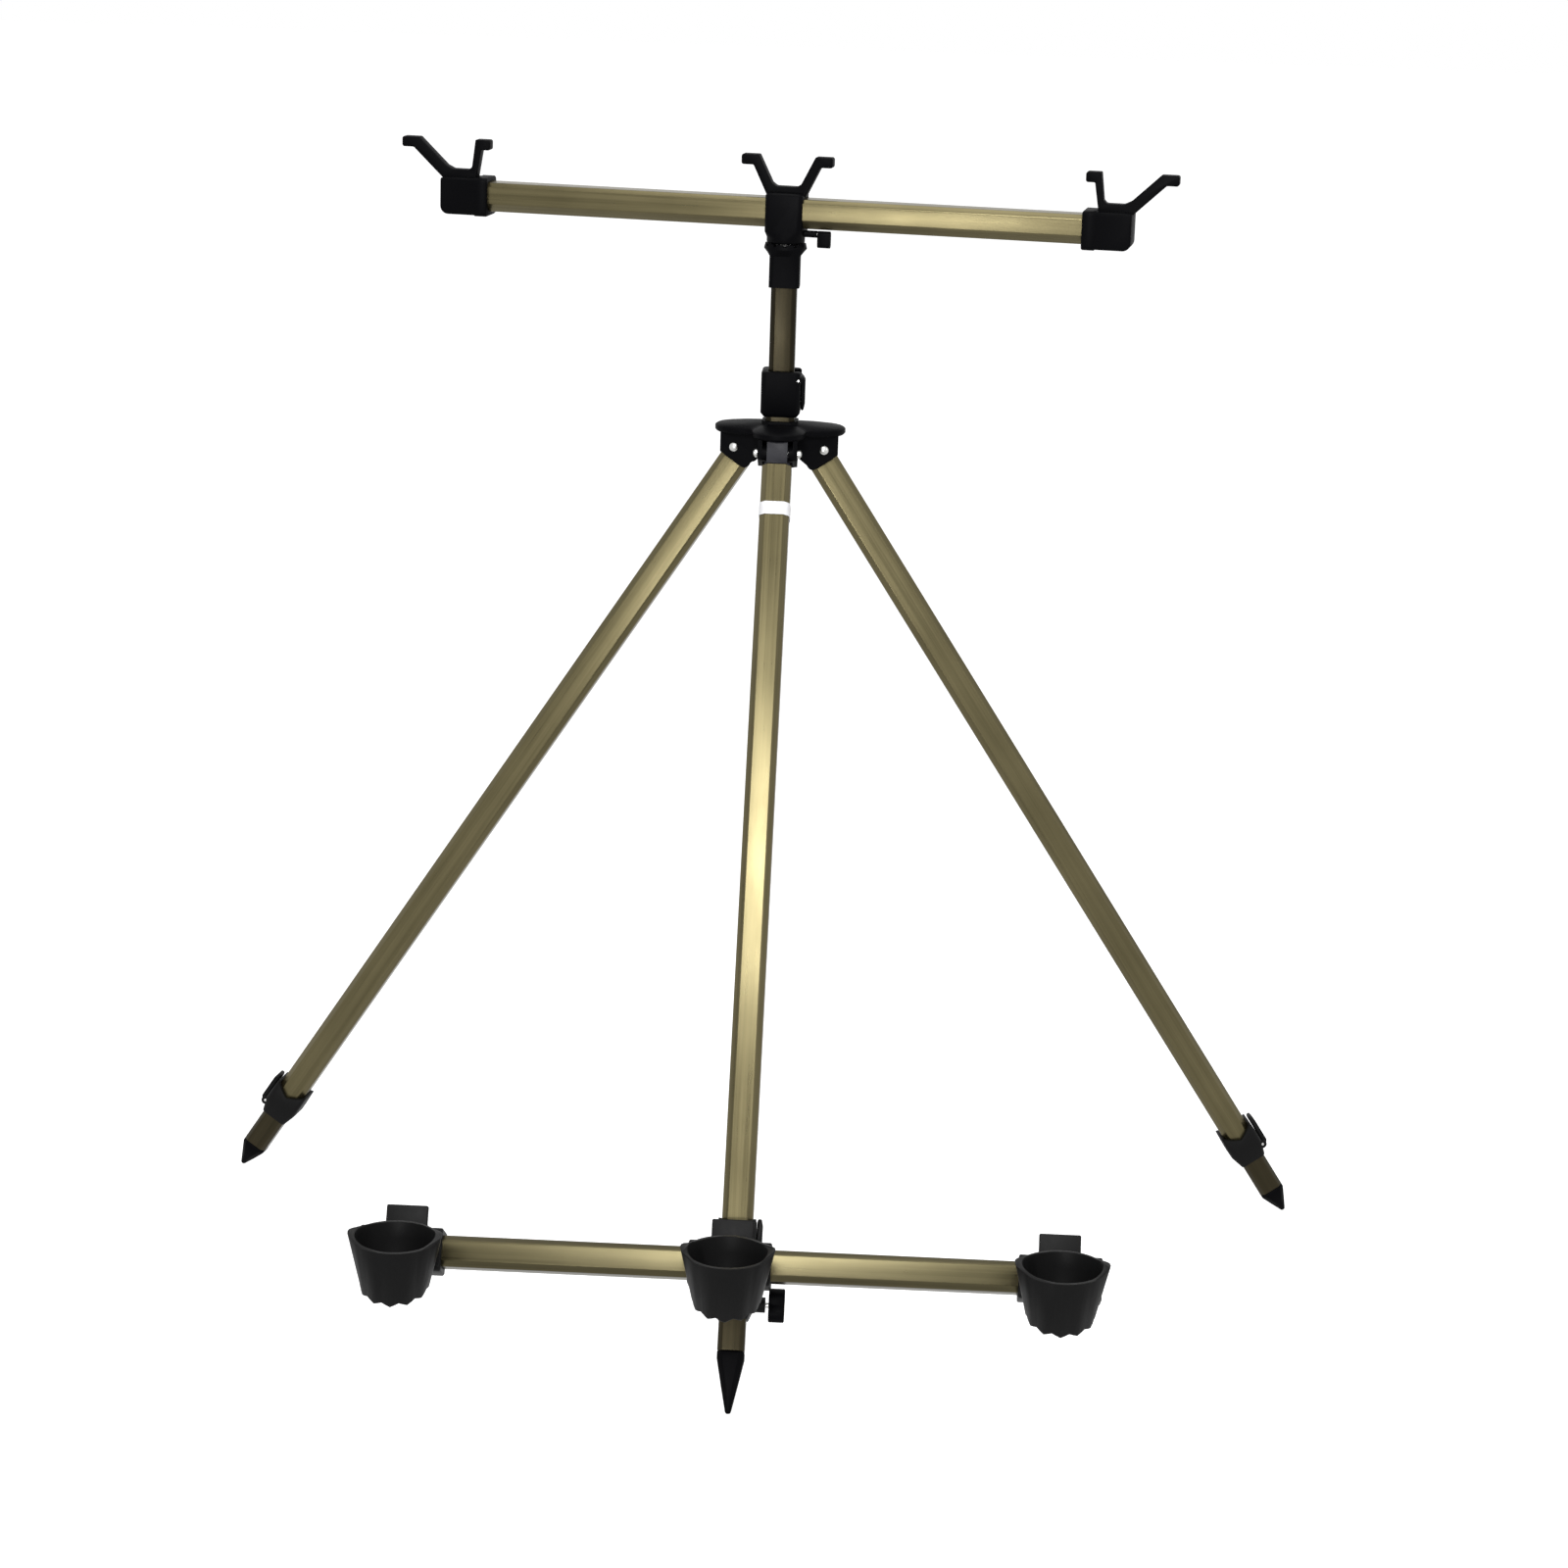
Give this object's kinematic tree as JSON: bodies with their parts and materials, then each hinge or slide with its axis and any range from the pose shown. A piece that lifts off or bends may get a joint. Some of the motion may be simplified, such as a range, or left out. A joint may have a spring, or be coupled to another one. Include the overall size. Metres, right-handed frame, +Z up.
{
  "type": "rod tripod",
  "caption": "Folding fishing-rod tripod with telescopic legs, cam-lever locks, a swivelling bar of open forks above and a bar of rod cups low on the front leg.",
  "frame": {"origin": "ground level, under the middle of the footprint's bounding box", "axes": "+Z up; the front leg points along -Y; +X is to the right when the cups face the viewer"},
  "size_m": [0.846, 0.5078, 0.8369],
  "materials": {
    "olive_aluminium": "satin olive-gold anodised",
    "bronze_aluminium": "satin dark bronze anodised",
    "black_plastic": "matte moulded",
    "blue_black_plastic": "matte moulded",
    "steel": "satin",
    "white_band": "plain white"
  },
  "bodies": {
    "hub": {"leg_hub": "black_plastic", "mast_outer_tube": "bronze_aluminium", "mast_lock_collar": "black_plastic", "mast_lever_pin": "steel", "left_pivot_bolt": "steel", "right_pivot_bolt": "steel", "front_pivot_bolt": "steel"},
    "left_leg": {"left_leg_knuckle": "blue_black_plastic", "left_leg_tube": "olive_aluminium", "left_lock_collar": "black_plastic", "left_lever_pin": "steel"},
    "left_foot": {"left_inner_leg": "bronze_aluminium", "left_glide_plug": "black_plastic", "left_spike": "black_plastic"},
    "left_lever": {"left_lock_lever": "black_plastic"},
    "right_leg": {"right_leg_knuckle": "blue_black_plastic", "right_leg_tube": "olive_aluminium", "right_lock_collar": "black_plastic", "right_lever_pin": "steel"},
    "right_foot": {"right_inner_leg": "bronze_aluminium", "right_glide_plug": "black_plastic", "right_spike": "black_plastic"},
    "right_lever": {"right_lock_lever": "black_plastic"},
    "front_leg": {"front_leg_knuckle": "blue_black_plastic", "front_leg_tube": "olive_aluminium", "front_lock_collar": "black_plastic", "front_lever_pin": "steel", "front_leg_band": "white_band"},
    "front_foot": {"front_inner_leg": "bronze_aluminium", "front_glide_plug": "black_plastic", "front_spike": "black_plastic"},
    "front_lever": {"front_lock_lever": "black_plastic"},
    "mast_lever": {"mast_lock_lever": "black_plastic"},
    "mast": {"mast_inner_tube": "bronze_aluminium", "mast_end_plug": "black_plastic", "swivel_sleeve": "black_plastic", "swivel_bolt": "steel"},
    "head": {"head_body": "black_plastic", "rod_bar": "olive_aluminium", "left_end_fork": "black_plastic", "right_end_fork": "black_plastic"},
    "head_tab": {"head_lock_tab": "black_plastic", "head_lock_shank": "steel"},
    "cup_rest": {"cup_bar": "olive_aluminium", "left_rod_cup": "black_plastic", "middle_rod_cup": "black_plastic", "right_rod_cup": "black_plastic"},
    "cup_screw": {"bracket_wing": "black_plastic", "bracket_screw_shank": "steel"}
  },
  "joints": [
    {"name": "left_leg_fold", "type": "hinge", "parent": "hub", "child": "left_leg", "pos_m": [-0.03112, 0.17369, 0.61966], "axis": [-0.1736, -0.9848, 0], "range_deg": [0, 33]},
    {"name": "left_foot_slide", "type": "slide", "parent": "left_leg", "child": "left_foot", "axis": [-0.5364, 0.0946, -0.8387], "range_m": [0, 0.5]},
    {"name": "left_lever_turn", "type": "hinge", "parent": "left_leg", "child": "left_lever", "pos_m": [-0.39889, 0.23853, 0.06031], "axis": [-0.1736, -0.9848, 0], "range_deg": [0, 100]},
    {"name": "right_leg_fold", "type": "hinge", "parent": "hub", "child": "right_leg", "pos_m": [0.03112, 0.17369, 0.61966], "axis": [-0.1736, 0.9848, 0], "range_deg": [0, 33]},
    {"name": "right_foot_slide", "type": "slide", "parent": "right_leg", "child": "right_foot", "axis": [0.5364, 0.0946, -0.8387], "range_m": [0, 0.5]},
    {"name": "right_lever_turn", "type": "hinge", "parent": "right_leg", "child": "right_lever", "pos_m": [0.39889, 0.23853, 0.06031], "axis": [-0.1736, 0.9848, 0], "range_deg": [0, 100]},
    {"name": "front_leg_fold", "type": "hinge", "parent": "hub", "child": "front_leg", "pos_m": [0, 0.1366, 0.61966], "axis": [1, 0, 0], "range_deg": [0, 29.6]},
    {"name": "front_foot_slide", "type": "slide", "parent": "front_leg", "child": "front_foot", "axis": [0, -0.4939, -0.8695], "range_m": [0, 0.36]},
    {"name": "front_lever_turn", "type": "hinge", "parent": "front_leg", "child": "front_lever", "pos_m": [0.013, -0.15343, 0.10012], "axis": [0, 0.8695, -0.4939], "range_deg": [0, 100]},
    {"name": "mast_lever_turn", "type": "hinge", "parent": "hub", "child": "mast_lever", "pos_m": [0.013, 0.1682, 0.67116], "axis": [0, -1, 0], "range_deg": [0, 100]},
    {"name": "mast_slide", "type": "slide", "parent": "hub", "child": "mast", "axis": [0, 0, 1], "range_m": [0, 0.03]},
    {"name": "head_swivel", "type": "hinge", "parent": "mast", "child": "head", "pos_m": [0, 0.1682, 0.77996], "axis": [0, 0, 1], "continuous": true},
    {"name": "head_tab_turn", "type": "hinge", "parent": "head", "child": "head_tab", "pos_m": [0.02816, 0.16379, 0.77996], "axis": [0.988, -0.1547, 0], "range_deg": [-90, 90]},
    {"name": "cup_rest_slide", "type": "slide", "parent": "front_foot", "child": "cup_rest", "axis": [0, -0.4939, -0.8695], "range_m": [0, 0.022]},
    {"name": "cup_screw_turn", "type": "hinge", "parent": "cup_rest", "child": "cup_screw", "pos_m": [0.031, -0.17175, 0.06786], "axis": [1, 0, 0], "continuous": true}
  ]
}
